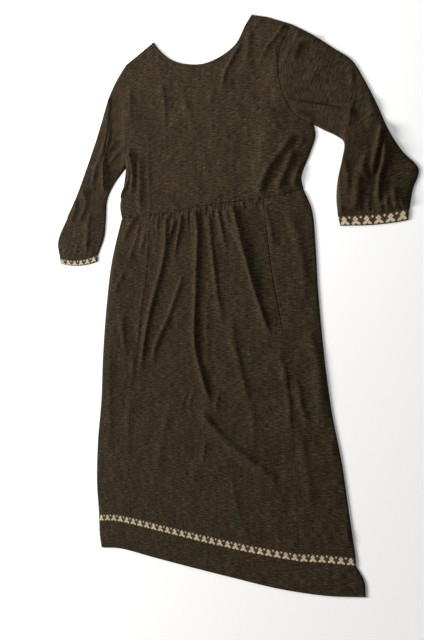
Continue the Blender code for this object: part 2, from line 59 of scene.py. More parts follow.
camera_data = bpy.data.cameras.new("camera")
camera_data.lens = CAMERA_LENS
camera_data.sensor_width = CAMERA_SENSOR
camera = bpy.data.objects.new("camera", camera_data)
turn = Matrix((CAMERA_RIGHT, CAMERA_UP, CAMERA_BACK)).transposed().to_4x4()
camera.matrix_world = Matrix.Translation(CAMERA_PLACE) @ turn
bpy.context.scene.collection.objects.link(camera)
bpy.context.scene.camera = camera


# The floor and the light
# A near-white matt floor that glows a little, a broad window-like light low on the left
# that models the folds, a lamp over the neck, and a pale room that fills the shadows.
FLOOR_REACH = 6.0
FLOOR_COLOUR = (0.96, 0.96, 0.96, 1)
FLOOR_ROUGHNESS = 0.9
FLOOR_GLOW = 0.08
ROOM_COLOUR = (0.95, 0.97, 1.0, 1)
ROOM_STRENGTH = 0.21
WINDOW_PLACE = (-3.8, 0.2, 1.85)
WINDOW_AIM = (0.0, 0.0, 0.0)
WINDOW_SIZE = (1.3, 1.5)
WINDOW_POWER = 300
WINDOW_COLOUR = (1.0, 0.98, 0.94)
LAMP_PLACE = (-0.08, 0.6, 0.62)
LAMP_SIZE = 0.5
LAMP_POWER = 2.3

bm = bmesh.new()
bmesh.ops.create_grid(bm, x_segments=1, y_segments=1, size=FLOOR_REACH)
floor_mesh = bpy.data.meshes.new("floor")
bm.to_mesh(floor_mesh)
bm.free()
floor_paint = bpy.data.materials.new("floor_paint")
floor_paint.use_nodes = True
for key, value in (
    ("Base Color", FLOOR_COLOUR), ("Roughness", FLOOR_ROUGHNESS),
    ("Emission Color", FLOOR_COLOUR), ("Emission Strength", FLOOR_GLOW),
):
    floor_paint.node_tree.nodes["Principled BSDF"].inputs[key].default_value = value
floor_mesh.materials.append(floor_paint)
floor = bpy.data.objects.new("floor", floor_mesh)
bpy.context.scene.collection.objects.link(floor)

room = bpy.data.worlds.new("room")
room.use_nodes = True
background = room.node_tree.nodes["Background"]
background.inputs["Color"].default_value = ROOM_COLOUR
background.inputs["Strength"].default_value = ROOM_STRENGTH
bpy.context.scene.world = room

window_light = bpy.data.lights.new("window", "AREA")
window_light.shape = "RECTANGLE"
window_light.size, window_light.size_y = WINDOW_SIZE
window_light.energy = WINDOW_POWER
window_light.color = WINDOW_COLOUR
window = bpy.data.objects.new("window", window_light)
window.location = WINDOW_PLACE
facing = Vector(WINDOW_AIM) - Vector(WINDOW_PLACE)
window.rotation_euler = facing.to_track_quat("-Z", "Y").to_euler()
bpy.context.scene.collection.objects.link(window)

lamp_light = bpy.data.lights.new("lamp_over_the_neck", "AREA")
lamp_light.size = LAMP_SIZE
lamp_light.energy = LAMP_POWER
lamp = bpy.data.objects.new("lamp_over_the_neck", lamp_light)
lamp.location = LAMP_PLACE
bpy.context.scene.collection.objects.link(lamp)
bpy.context.scene.view_settings.view_transform = "Standard"


# The jersey
# A matt slub jersey knitted from a heathered dark brown yarn: thick and thin places in
# the yarn run across every piece as short streaks, with a stray lighter slub between
# them, over fine upright wales.
JERSEY_DARK = (0.0107, 0.0069, 0.0033, 1)
JERSEY_LIGHT = (0.0562, 0.04, 0.0219, 1)
JERSEY_OLIVE = (0.95, 1.025, 0.955, 1)
JERSEY_RUSSET = (1.055, 0.975, 1.025, 1)
JERSEY_SLUB = (0.09, 0.07, 0.044, 1)
COURSE_STREAKS_PER_METRE = (85, 640)
WALE_STREAKS_PER_METRE = (260, 24)
FINE_STREAKS_PER_METRE = (380, 1000)
TINTS_PER_METRE = (28, 40)
SLUBS_PER_METRE = (60, 620)
PATCHES_PER_METRE = 24
WALE_PITCH = 0.0011
COURSE_PITCH = 0.0009
# How much each noise adds to the yarn, and the stretch of each that is used
WALE_SHARE = 0.24
FINE_SHARE = 0.8
KNIT_SHARE = 0.12
YARN_RANGE = (0.66, 1.36)
TINT_RANGE = (0.25, 0.75)
SLUB_RANGE = (0.7, 0.84)
SLUB_STRENGTH = 0.6
PATCH_RANGE = (0.3, 0.72)
PATCH_DARK = (0.91, 0.91, 0.92, 1)
PATCH_LIGHT = (1.09, 1.09, 1.08, 1)
NOISE_ROUGHNESS = 0.55
JERSEY_ROUGHNESS = 0.95
JERSEY_SHEEN = 0.03
JERSEY_BUMP = (0.55, 0.0009)
CLOTH_SPECULAR = 0.06
SHEEN_ROUGHNESS = 0.45
SHEEN_TINT = (0.62, 0.52, 0.38, 1)


def add_node(tree, kind, inputs=(), **settings):
    """A node with its settings, its input values and its input links."""
    node = tree.nodes.new(kind)
    for name, value in settings.items():
        setattr(node, name, value)
    for name, value in dict(inputs).items():
        if isinstance(value, bpy.types.NodeSocket):
            tree.links.new(value, node.inputs[name])
        else:
            node.inputs[name].default_value = value
    return node


def yarn_noise(tree, grain, per_metre, detail=2.0):
    """Noise drawn out along the courses of the knit, from about 0.2 to 0.8."""
    scaled = add_node(
        tree, "ShaderNodeMapping", {"Vector": grain, "Scale": (*per_metre, 1)}
    ).outputs["Vector"]
    noise = add_node(
        tree,
        "ShaderNodeTexNoise",
        {"Vector": scaled, "Scale": 1.0, "Detail": detail, "Roughness": NOISE_ROUGHNESS},
        noise_dimensions="2D",
    )
    return noise.outputs["Fac"]


def ramp(tree, share, low, high):
    """The share stretched so that low becomes 0 and high becomes 1."""
    return add_node(
        tree,
        "ShaderNodeMapRange",
        {"Value": share, "From Min": low, "From Max": high},
        interpolation_type="SMOOTHSTEP",
    ).outputs["Result"]


def blend_colour(tree, share, first, second, mode="MIX"):
    """Two colours mixed by a share, or by a plain factor."""
    node = add_node(tree, "ShaderNodeMix", data_type="RGBA", blend_type=mode)
    for name, value in (("Factor_Float", share), ("A_Color", first), ("B_Color", second)):
        socket = next(entry for entry in node.inputs if entry.identifier == name)
        if isinstance(value, bpy.types.NodeSocket):
            tree.links.new(value, socket)
        else:
            socket.default_value = value
    return next(out for out in node.outputs if out.identifier == "Result_Color")


def times_plus(tree, value, factor, extra=0.0):
    """A value times a factor plus something more."""
    return add_node(
        tree, "ShaderNodeMath", {0: value, 1: factor, 2: extra}, operation="MULTIPLY_ADD"
    ).outputs["Value"]


def wave_of(tree, value, pitch):
    """A wave from -1 to 1 along a value in metres."""
    turned = times_plus(tree, value, math.tau / pitch)
    return add_node(tree, "ShaderNodeMath", {0: turned}, operation="SINE").outputs["Value"]


def start_cloth(name, roughness, sheen):
    """The matt shader that every cloth of the dress starts from, and its grain."""
    material = bpy.data.materials.new(name)
    material.use_nodes = True
    tree = material.node_tree
    surface = tree.nodes["Principled BSDF"]
    for key, value in (
        ("Roughness", roughness), ("Specular IOR Level", CLOTH_SPECULAR), ("Sheen Weight", sheen),
        ("Sheen Roughness", SHEEN_ROUGHNESS), ("Sheen Tint", SHEEN_TINT),
    ):
        surface.inputs[key].default_value = value
    grain = add_node(tree, "ShaderNodeAttribute", attribute_name="grain").outputs["Vector"]
    return material, tree, surface, grain


def finish_cloth(tree, surface, colour, height, strength, distance):
    """The cloth's colour, and its fine relief as bump."""
    tree.links.new(colour, surface.inputs["Base Color"])
    bump = add_node(
        tree, "ShaderNodeBump", {"Height": height, "Strength": strength, "Distance": distance}
    )
    tree.links.new(bump.outputs["Normal"], surface.inputs["Normal"])


def make_jersey():
    """Heathered yarn with a cast, slubs and slow patches, over the loops of the knit."""
    material, tree, surface, grain = start_cloth("slub_jersey", JERSEY_ROUGHNESS, JERSEY_SHEEN)
    place = add_node(tree, "ShaderNodeTexCoord").outputs["Object"]

    courses = yarn_noise(tree, grain, COURSE_STREAKS_PER_METRE, detail=1.0)
    wales = yarn_noise(tree, grain, WALE_STREAKS_PER_METRE, detail=1.0)
    fine = yarn_noise(tree, grain, FINE_STREAKS_PER_METRE, detail=1.0)
    yarn = times_plus(tree, fine, FINE_SHARE, times_plus(tree, wales, WALE_SHARE, courses))
    colour = blend_colour(tree, ramp(tree, yarn, *YARN_RANGE), JERSEY_DARK, JERSEY_LIGHT)
    tint = ramp(tree, yarn_noise(tree, grain, TINTS_PER_METRE), *TINT_RANGE)
    cast = blend_colour(tree, tint, JERSEY_OLIVE, JERSEY_RUSSET)
    colour = blend_colour(tree, 1.0, colour, cast, mode="MULTIPLY")
    slub = ramp(tree, yarn_noise(tree, grain, SLUBS_PER_METRE, detail=0.0), *SLUB_RANGE)
    colour = blend_colour(tree, times_plus(tree, slub, SLUB_STRENGTH), colour, JERSEY_SLUB)
    patches = add_node(
        tree, "ShaderNodeTexNoise", {"Vector": place, "Scale": PATCHES_PER_METRE, "Detail": 2.0}
    ).outputs["Fac"]
    shade = blend_colour(tree, ramp(tree, patches, *PATCH_RANGE), PATCH_DARK, PATCH_LIGHT)
    colour = blend_colour(tree, 1.0, colour, shade, mode="MULTIPLY")

    split = add_node(tree, "ShaderNodeSeparateXYZ", {0: grain})
    wale_wave = wave_of(tree, split.outputs["X"], WALE_PITCH)
    course_wave = wave_of(tree, split.outputs["Y"], COURSE_PITCH)
    knit = times_plus(tree, times_plus(tree, wale_wave, course_wave), KNIT_SHARE, yarn)
    finish_cloth(tree, surface, colour, knit, *JERSEY_BUMP)
    return material


MATERIALS = {"jersey": [make_jersey()]}
NAME_ENDS = {"jersey": "cloth", "braid": "braid"}


# The tables
# Points, gathers and folds are written in millimetres and used in metres.
def mm(*rows):
    """Points or sizes given in millimetres."""
    return np.array(rows) / 1000


def folds_mm(*rows):
    """Folds given in millimetres, each with its five sizes and its crest."""
    return [(*mm(*sizes), mm(*crest)) for *sizes, crest in rows]


# The back of the bodice
# One plain piece of jersey, the hidden layer that lies flat on the floor. Its side,
# armhole and shoulder edges are the seams that the front pieces and sleeves join.
SIDE_LEFT = mm((-234, 197), (-238, 229), (-226, 269), (-218, 314))
SIDE_RIGHT = mm((214, 204), (211, 232), (229, 272), (241, 303), (239, 327))
ARMHOLE_LEFT = mm(
    (-218, 314), (-209, 350), (-211, 396), (-220, 438), (-227, 475), (-225, 515), (-213, 553),
)
ARMHOLE_RIGHT = mm(
    (239, 327), (206, 351), (185, 385), (174, 423), (171, 462), (179, 500), (198, 537),
)
SHOULDER_TIP_LEFT = mm((-213, 553), (-184, 565))
SHOULDER_TIP_RIGHT = mm((146, 566), (198, 537))
NECKLINE = mm(
    (-136, 586), (-117, 561), (-89, 535), (-52, 516), (-6, 506), (38, 512), (74, 530), (95, 561),
    (112, 581),
)
BINDING_WIDTH = 0.006
WAIST_LEFT = mm((-234, 197), (-192, 195), (-151, 195))
WAIST_CENTRE = mm((-151, 195), (-90, 193), (-30, 198), (50, 198), (129, 197))
WAIST_RIGHT = mm((129, 197), (172, 199), (214, 204))

WALL = 0.0009
LINING_FLOOR = 0.0001
SEAM_HALF = 0.00012
BACK_INSET = 0.0015
BACK_STEP = 0.006
BACK_HIGHEST = 0.0015
BODICE_LENGTH = 0.37
BODICE_WIDTH = 0.44
COARSE_STEP = 0.006
DRAW_SPREAD = 3
TINY = 1e-6
NO_RUN = 1e-14
CURVE_STEPS = 24
RIM_STEPS = (0, 0.0004, 0.0009, 0.0015, 0.0023, 0.0034, 0.005)
SHARP_ANGLE = math.radians(60)
# Soft creases that lift the hidden layer: crest ends, half width and height
BACK_CREASES = mm(
    (-120, 260, 50, 330, 12, 0.5), (150, 240, 20, 290, 10, 0.4), (-60, 470, -90, 350, 14, 0.5),
    (90, 500, 60, 390, 11, 0.4), (-160, 20, -190, -240, 15, 0.5), (-30, 100, -20, -210, 13, 0.6),
    (80, 60, 130, -200, 16, 0.5), (190, -120, 200, -380, 14, 0.4), (-220, -250, -60, -330, 17, 0.5),
    (10, -330, 150, -400, 15, 0.4),
)


def smooth(points):
    """A fine smooth curve through a table's points."""
    knots = np.array(points, float)
    padded = np.vstack([2 * knots[0] - knots[1], knots, 2 * knots[-1] - knots[-2]])
    steps = np.linspace(0, 1, CURVE_STEPS + 1)[:, None]
    spans = []
    for before, start, end, after in zip(padded, padded[1:], padded[2:], padded[3:]):
        bend = 2 * before - 5 * start + 4 * end - after
        swing = 3 * start - before - 3 * end + after
        spans.append(0.5 * (2 * start + (end - before) * steps + bend * steps**2 + swing * steps**3))
    return np.vstack([span[:-1] for span in spans] + [knots[-1:]])


def join(*stretches):
    """Smooth stretches of one edge, end to end, as one fine line."""
    lines = [smooth(stretch) for stretch in stretches]
    return np.vstack([lines[0]] + [line[1:] for line in lines[1:]])


def reach_of(line):
    """How far along a line each of its points lies."""
    return np.append(0, np.cumsum(np.linalg.norm(np.diff(line, axis=0), axis=1)))


def at(line, shares):
    """Points at these shares of a line's length."""
    reach = reach_of(line)
    places = np.asarray(shares) * reach[-1]
    return np.column_stack([np.interp(places, reach, line[:, axis]) for axis in (0, 1)])


def rimmed(length, step):
    """Shares of a length in even steps, closer together at both ends where the cloth turns."""
    rim = np.array(RIM_STEPS)
    count = max(2, round((length - 2 * rim[-1]) / step))
    middle = np.linspace(rim[-1], length - rim[-1], count + 1)
    return np.concatenate([rim[:-1], middle, length - rim[-2::-1]]) / length


def between(left, right, bottom, top, up, across):
    """Plan of a piece between its four edges, by row and column, from the bottom edge up."""
    left, right = at(left, up), at(right, up)
    bottom, top = at(bottom, across), at(top, across)
    up, across = np.asarray(up)[:, None, None], np.asarray(across)[None, :, None]
    straight = (1 - across) * left[:, None] + across * right[:, None]
    bottom_bow = bottom - (bottom[0] + across[0] * (bottom[-1] - bottom[0]))
    top_bow = top - (top[0] + across[0] * (top[-1] - top[0]))
    return straight + (1 - up) * bottom_bow + up * top_bow


def drawn_in(plan, left=SEAM_HALF, right=SEAM_HALF, bottom=SEAM_HALF, top=SEAM_HALF):
    """The plan with each of its rims moved inwards, and what lies near them with it."""
    drawn = plan.copy()
    for axis, near, far, amount in (
        (1, 0, -1, left), (1, -1, 0, right), (0, 0, -1, bottom), (0, -1, 0, top),
    ):
        rim = np.take(plan, [near], axis=axis)
        inward = np.take(plan, [far], axis=axis) - rim
        inward /= np.linalg.norm(inward, axis=2)[..., None]
        away = np.linalg.norm(plan - rim, axis=2)[..., None]
        drawn += inward * amount * np.clip(1 - away / (DRAW_SPREAD * max(amount, TINY)), 0, 1)
    return drawn


def nearest_on(points, line):
    """Distance of each plan point from a line, how far along it that is, and on which hand.

    The hand is 1 to the left of the line as one walks along it and -1 to the right.
    """
    flat = points.reshape(-1, 2)
    nearest = np.full(len(flat), np.inf)
    run_to = np.zeros(len(flat))
    hand = np.ones(len(flat))
    reach = reach_of(line)
    for start, end, begun in zip(line, line[1:], reach):
        run = end - start
        share = np.clip((flat - start) @ run / max(run @ run, NO_RUN), 0, 1)
        away = np.linalg.norm(flat - start - share[:, None] * run, axis=1)
        closer = away < nearest
        nearest = np.where(closer, away, nearest)
        run_to = np.where(closer, begun + share * np.linalg.norm(run), run_to)
        turned = (flat - start) @ np.array((-run[1], run[0]))
        hand = np.where(closer, np.where(turned < 0, -1.0, 1.0), hand)
    shape = points.shape[:-1]
    return nearest.reshape(shape), run_to.reshape(shape), hand.reshape(shape)


def coarse(line):
    """The same line in fewer, even steps."""
    length = reach_of(line)[-1]
    return at(line, np.linspace(0, 1, max(2, math.ceil(length / COARSE_STEP)) + 1))


def back_height(plan):
    """Top of the hidden layer: its wall on the floor, lifted a little along its creases."""
    height = np.full(plan.shape[:2], WALL)
    for x0, y0, x1, y1, width, lift in BACK_CREASES:
        away = nearest_on(plan, np.array([(x0, y0), (x1, y1)]))[0]
        height += lift * np.exp(-((away / width) ** 2))
    return np.minimum(height, BACK_HIGHEST)


def make_piece(node, plan, heights, slot="jersey", grain=None, closed=False, chart=None):
    """One cut piece: a grid laid to its plan and heights and given its wall downwards.

    It stands for the solid of this node. A closed piece is a flattened tube whose first and
    last columns meet. A chart gives the number of the material of each cell, by row and column.
    """
    rows, columns = plan.shape[0] - 1, plan.shape[1] - 1
    grain = plan if grain is None else grain
    bm = bmesh.new()
    bm.verts.layers.float_vector.new("grain")
    outward = bm.verts.layers.float_vector.new("outward")
    along_grain = bm.verts.layers.float_vector["grain"]
    bmesh.ops.create_grid(bm, x_segments=columns, y_segments=rows, size=0.5)
    for vert in bm.verts:
        row = round((vert.co.y + 0.5) * rows)
        column = round((vert.co.x + 0.5) * columns)
        vert[along_grain] = (*grain[row, column], 0)
        if chart is not None:
            vert.index = row * (columns + 1) + column
        vert.co = (*plan[row, column], heights[row, column])
    if chart is not None:
        for face in bm.faces:
            first = min(vert.index for vert in face.verts)
            face.material_index = int(chart[first // (columns + 1)][first % (columns + 1)])
    if closed:
        bmesh.ops.remove_doubles(bm, verts=bm.verts[:], dist=TINY)
    bmesh.ops.recalc_face_normals(bm, faces=bm.faces[:])
    if not closed and sum(face.normal.z for face in bm.faces) < 0:
        bmesh.ops.reverse_faces(bm, faces=bm.faces[:])
    bm.normal_update()
    for vert in bm.verts:
        vert[outward] = vert.normal
    lining = bmesh.ops.extrude_face_region(bm, geom=bm.faces[:], use_keep_orig=True)
    for item in lining["geom"]:
        if isinstance(item, bmesh.types.BMVert):
            item.co -= WALL * item[outward]
            item.co.z = max(item.co.z, LINING_FLOOR)
    bm.verts.layers.float_vector.remove(outward)
    bmesh.ops.recalc_face_normals(bm, faces=bm.faces[:])
    mesh = bpy.data.meshes.new(f"{node}_{NAME_ENDS[slot]}")
    bm.to_mesh(mesh)
    bm.free()
    mesh.shade_smooth()
    mesh.set_sharp_from_angle(angle=SHARP_ANGLE)
    for material in MATERIALS[slot]:
        mesh.materials.append(material)
    piece = bpy.data.objects.new(mesh.name, mesh)
    bpy.context.scene.collection.objects.link(piece)
    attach(piece, "root")
    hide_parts(node)
    return piece


side_left = join(SIDE_LEFT, ARMHOLE_LEFT)
side_right = join(SIDE_RIGHT, ARMHOLE_RIGHT)
waist = join(WAIST_LEFT, WAIST_CENTRE, WAIST_RIGHT)
neckline = smooth(NECKLINE)
neck_run = np.gradient(neckline, axis=0)
neck_run /= np.linalg.norm(neck_run, axis=1)[:, None]
neck_seam = neckline + BINDING_WIDTH * np.column_stack([neck_run[:, 1], -neck_run[:, 0]])
bodice_top = np.vstack([SHOULDER_TIP_LEFT[1], neck_seam, SHOULDER_TIP_RIGHT[0]])
whole_top = np.vstack([SHOULDER_TIP_LEFT[0], bodice_top, SHOULDER_TIP_RIGHT[1]])

rows_up, columns_across = rimmed(BODICE_LENGTH, BACK_STEP), rimmed(BODICE_WIDTH, BACK_STEP)
plan = between(side_left, side_right, waist, whole_top, rows_up, columns_across)
plan = drawn_in(plan, BACK_INSET, BACK_INSET, SEAM_HALF, BACK_INSET)
bodice_back = make_piece("bodice_back", plan, back_height(plan))


# The front of the bodice
# A centre piece and two side pieces of jersey, joined by princess seams that run from the
# shoulders to the waist. It lies on the back with a few drag lines at the underarms.
BODICE_SEAM_LEFT = mm((-151, 195), (-151, 263), (-153, 345), (-156, 430), (-167, 505), (-184, 565))
BODICE_SEAM_RIGHT = mm((129, 197), (118, 262), (121, 350), (129, 450), (146, 566))
FRONT_FLOOR = 0.0033
EDGE_FOOT = 0.0003
EDGE_ROLL = 0.0032
CUT_THINNING = 0.0005
CUT_REACH = 0.0012
PUFF_HEIGHT = 0.0022
PUFF_REACH = 0.012
FOLD_EDGE_REACH = 0.007
SOFT_FLOOR = 0.0006
# A seam's surroundings sink by this much times the square of its groove's depth
SEAM_DIP = 440
SEAM_DIP_REACH = 0.006
GROOVE_REACH = 0.0012
PUCKER = 0.28
PUCKER_REACH = 0.005
PUCKER_PITCH = 0.0113
PUCKER_PHASE = 1.1
SLOW_PUCKER_PITCH = 0.0182
PUCKER_LEAN = 90
FINE_GROOVE = 0.00015
MILD_GROOVE = 0.00035
PLAIN_GROOVE = 0.0005
CRISP_GROOVE = 0.001
WAIST_GROOVE = 0.0018
FOLD_REACH = 3
FOOT_SHARE = 0.3
FOOT_SPREAD = 3
FOOT_REACH = 0.013
BODICE_STEP = (0.0022, 0.0028)
# Slow waves of cloth that isn't pressed: cycles a metre in x and y, phase and height
RIPPLES = (
    (11, 3, 0.4, 0.00022), (-6, 14, 1.9, 0.0002), (19, -7, 3.1, 0.00018),
    (27, 9, 5.0, 0.00014), (-13, 24, 2.3, 0.00014), (4, -9, 0.9, 0.00025),
    (38, -5, 1.4, 0.00008), (45, 16, 4.2, 0.00007),
)
# Folds, each with its crest from the upper end down: its height, the widths of its slopes
# to the picture's left and right, and the lengths over which it rises and fades away. A
# negative height makes a crease.
BODICE_FOLDS = folds_mm(
    # height, left, right, lead, tail, crest
    # from the right underarm to the waist
    (6.8, 9, 7.5, 20, 20, ((199, 317), (184, 293), (153, 262), (134, 230), (115, 198))),
    (5.8, 9, 6.5, 15, 15, ((203, 286), (185, 251), (169, 221), (160, 204))),
    (4, 6, 4.6, 15, 12, ((213, 258), (201, 226), (196, 209))),
    (2.6, 7, 4.5, 15, 12, ((226, 309), (202, 278))),
    (3.4, 7, 6, 15, 20, ((245, 327), (227, 343), (210, 354), (196, 369))),
    # the broad fall of the cloth towards each side
    (6, 28, 90, 50, 50, ((186, 520), (170, 450), (178, 370))),
    (7.5, 22, 60, 50, 30, ((150, 400), (138, 300), (120, 205))),
    (6, 12, 55, 80, 40, ((-212, 500), (-212, 360), (-220, 280), (-226, 208))),
    # from the right neck point and shoulder
    (5.2, 5.5, 4.8, 20, 45, ((91, 529), (67, 499), (48, 468), (35, 423))),
    (2, 9, 7, 15, 20, ((27, 448), (14, 429), (7, 405))),
    (4.2, 9, 7, 15, 50, ((107, 552), (105, 519), (101, 492), (91, 451))),
    (5.6, 6, 5.2, 12, 35, ((188, 541), (161, 513), (136, 487), (128, 466))),
    (4.8, 6, 6, 12, 30, ((214, 519), (208, 499), (188, 469), (178, 451))),
    (5.8, 9, 6.5, 20, 25, ((263, 490), (243, 494), (226, 494), (215, 485), (200, 446))),
    (2.2, 4, 3, 10, 15, ((164, 501), (168, 466))),
    # down from the left shoulder
    (3.8, 9, 4.4, 20, 45, ((-116, 491), (-107, 460), (-104, 430), (-103, 386))),
    (2.6, 10, 7.5, 20, 50, ((-58, 482), (-54, 442), (-47, 414), (-32, 365))),
    (2.6, 7, 5.5, 30, 30, ((-197, 504), (-197, 467), (-196, 406))),
    # round the left underarm
    (6.2, 6, 5, 25, 30, ((-203, 360), (-193, 314), (-191, 288), (-198, 240))),
    (5, 5, 4, 12, 12,
     ((-210, 346), (-203, 316), (-202, 294), (-208, 272), (-223, 252), (-235, 238))),
    (3.6, 7, 7.5, 40, 15, ((-176, 338), (-173, 278), (-178, 201))),
    # the seam allowances under the left princess seam
    (1.4, 5, 3.5, 40, 10, ((-152, 398), (-150, 330), (-149, 201))),
)


def eased(share):
    """A smooth rise from 0 to 1."""
    share = np.clip(share, 0, 1)
    return share * share * (3 - 2 * share)


def fold_height(plan, height, left, right, lead, tail, crest):
    """A fold along its crest: a swell up to it, then a steep flank that runs out softly."""
    line = coarse(smooth(crest))
    reach = FOLD_REACH * max(left, right, FOOT_REACH)
    rise = np.zeros(plan.shape[:-1])
    near = np.all((plan > line.min(axis=0) - reach) & (plan < line.max(axis=0) + reach), axis=-1)
    away, run, hand = nearest_on(plan[near], line)
    swell = np.exp(-((away / left) ** 2))
    flank = (1 - FOOT_SHARE) * np.exp(-((away / right) ** 2))
    flank += FOOT_SHARE * np.exp(-((away / max(right, min(FOOT_SPREAD * right, FOOT_REACH))) ** 2))
    whole = reach_of(line)[-1]
    fade = eased(run / lead) * eased((whole - run) / tail)
    rise[near] = height * np.where(hand < 0, swell, flank) * fade
    return rise


def front_height(plan, seams, turned, folds=(), cut=()):
    """Top of the front layer, which lies over the back one.

    It turns down to the floor at its turned edges, thins out at its cut edges, and sinks
    and puckers at its seams, each given with the depth of its groove.
    """
    turned_away = np.min([nearest_on(plan, line)[0] for line in turned], axis=0)
    cut_away = np.min([nearest_on(plan, line)[0] for line in cut], axis=0) if cut else turned_away
    edge = np.minimum(turned_away, cut_away)
    rise = PUFF_HEIGHT * (1 - np.exp(-edge / PUFF_REACH))
    for fold in folds:
        rise += fold_height(plan, *fold) * eased(edge / FOLD_EDGE_REACH)
    for x_rate, y_rate, phase, height in RIPPLES:
        turns = plan[..., 0] * x_rate + plan[..., 1] * y_rate
        rise += height * np.sin(math.tau * turns + phase) * eased(edge / PUFF_REACH)
    groove = np.zeros_like(rise)
    for seam, depth in seams:
        away, run, _ = nearest_on(plan, seam)
        rise -= SEAM_DIP * depth**2 * np.exp(-((away / SEAM_DIP_REACH) ** 2))
        beat = np.sin(run * math.tau / PUCKER_PITCH + PUCKER_PHASE)
        beat += np.sin(run * math.tau / SLOW_PUCKER_PITCH + away * PUCKER_LEAN)
        rise += PUCKER * depth * beat * np.exp(-((away / PUCKER_REACH) ** 2))
        groove = np.maximum(groove, depth * np.exp(-((away / GROOVE_REACH) ** 2)))
    rise = 0.5 * (rise + np.sqrt(rise**2 + SOFT_FLOOR**2))
    top = FRONT_FLOOR + rise - groove
    rolled = np.sqrt(1 - (1 - np.clip(turned_away / EDGE_ROLL, 0, 1)) ** 2)
    top = EDGE_FOOT + (top - EDGE_FOOT) * rolled
    if cut:
        top -= CUT_THINNING * (1 - np.clip(cut_away / CUT_REACH, 0, 1)) ** 2
    return top


seam_left = smooth(BODICE_SEAM_LEFT)
seam_right = smooth(BODICE_SEAM_RIGHT)
armhole_left = smooth(ARMHOLE_LEFT)
armhole_right = smooth(ARMHOLE_RIGHT)
bodice_lie = {
    "folds": BODICE_FOLDS,
    "seams": [
        (coarse(waist), WAIST_GROOVE),
        (coarse(seam_left), FINE_GROOVE),
        (coarse(seam_right), FINE_GROOVE),
        (coarse(armhole_left), MILD_GROOVE),
        (coarse(armhole_right), CRISP_GROOVE),
        (coarse(neck_seam), FINE_GROOVE),
    ],
    "turned": [
        coarse(smooth(SIDE_LEFT)),
        coarse(smooth(SIDE_RIGHT)),
        np.array([SHOULDER_TIP_LEFT[0], SHOULDER_TIP_LEFT[1], NECKLINE[0]]),
        np.array([NECKLINE[-1], SHOULDER_TIP_RIGHT[0], SHOULDER_TIP_RIGHT[1]]),
    ],
    "cut": [coarse(neckline)],
}
bodice_rows = rimmed(BODICE_LENGTH, BODICE_STEP[1])
for name, left, right, bottom, top, width, flat, area in (
    ("bodice_front_left", side_left, seam_left, smooth(WAIST_LEFT),
     SHOULDER_TIP_LEFT, 0.075, (0.095, 0.375), 0.0255),
    ("bodice_front_centre", seam_left, seam_right, smooth(WAIST_CENTRE),
     bodice_top, 0.28, (0.335, 0.395), 0.097),
    ("bodice_front_right", seam_right, side_right, smooth(WAIST_RIGHT),
     SHOULDER_TIP_RIGHT, 0.08, (0.125, 0.37), 0.027),
):
    plan = drawn_in(between(left, right, bottom, top, bodice_rows, rimmed(width, BODICE_STEP[0])))
    piece = make_piece(name, plan, front_height(plan, **bodice_lie))


# The back of the skirt
# One plain piece of jersey from the waist seam to the braid, flat on the floor.
SKIRT_SIDE_LEFT = mm(
    (-315, -492), (-320, -415), (-315, -320), (-303, -225), (-295, -110), (-281, 10), (-264, 103),
    (-234, 197),
)
SKIRT_SIDE_RIGHT = mm(
    (299, -498), (289, -421), (277, -325), (260, -230), (248, -125), (239, 0), (236, 90),
    (231, 158), (214, 204),
)
TRIM_LEFT = mm((-315, -492), (-267, -486), (-218, -487))
TRIM_CENTRE = mm((-218, -487), (-120, -494), (-20, -501), (85, -506), (189, -507))
TRIM_RIGHT = mm((189, -507), (245, -501), (299, -498))
SKIRT_LENGTH = 0.7
SKIRT_WIDTH = 0.55

skirt_side_left = smooth(SKIRT_SIDE_LEFT)
skirt_side_right = smooth(SKIRT_SIDE_RIGHT)
trim_top = join(TRIM_LEFT, TRIM_CENTRE, TRIM_RIGHT)
rows_up, columns_across = rimmed(SKIRT_LENGTH, BACK_STEP), rimmed(SKIRT_WIDTH, BACK_STEP)
plan = between(skirt_side_left, skirt_side_right, trim_top, waist, rows_up, columns_across)
plan = drawn_in(plan, BACK_INSET, BACK_INSET)
skirt_back = make_piece("skirt_back", plan, back_height(plan))


# The front of the skirt
# A centre piece gathered into the waist seam between two plain side pieces, joined by
# seams that carry on from the bodice's. The gathers open into long folds that fall to
# the right, each with a soft left slope and a steep right one.
SKIRT_SEAM_LEFT = mm((-218, -487), (-221, -345), (-209, -205), (-187, -50), (-166, 70), (-151, 195))
SKIRT_SEAM_RIGHT = mm((189, -507), (186, -375), (179, -200), (164, -70), (143, 55), (129, 197))
SKIRT_STEP = (0.0014, 0.004)
SEAM_CRISP_ABOVE = -0.08
GATHER_START = 0.006
GATHER_TAIL = 0.75
GATHER_FLANK = 0.7
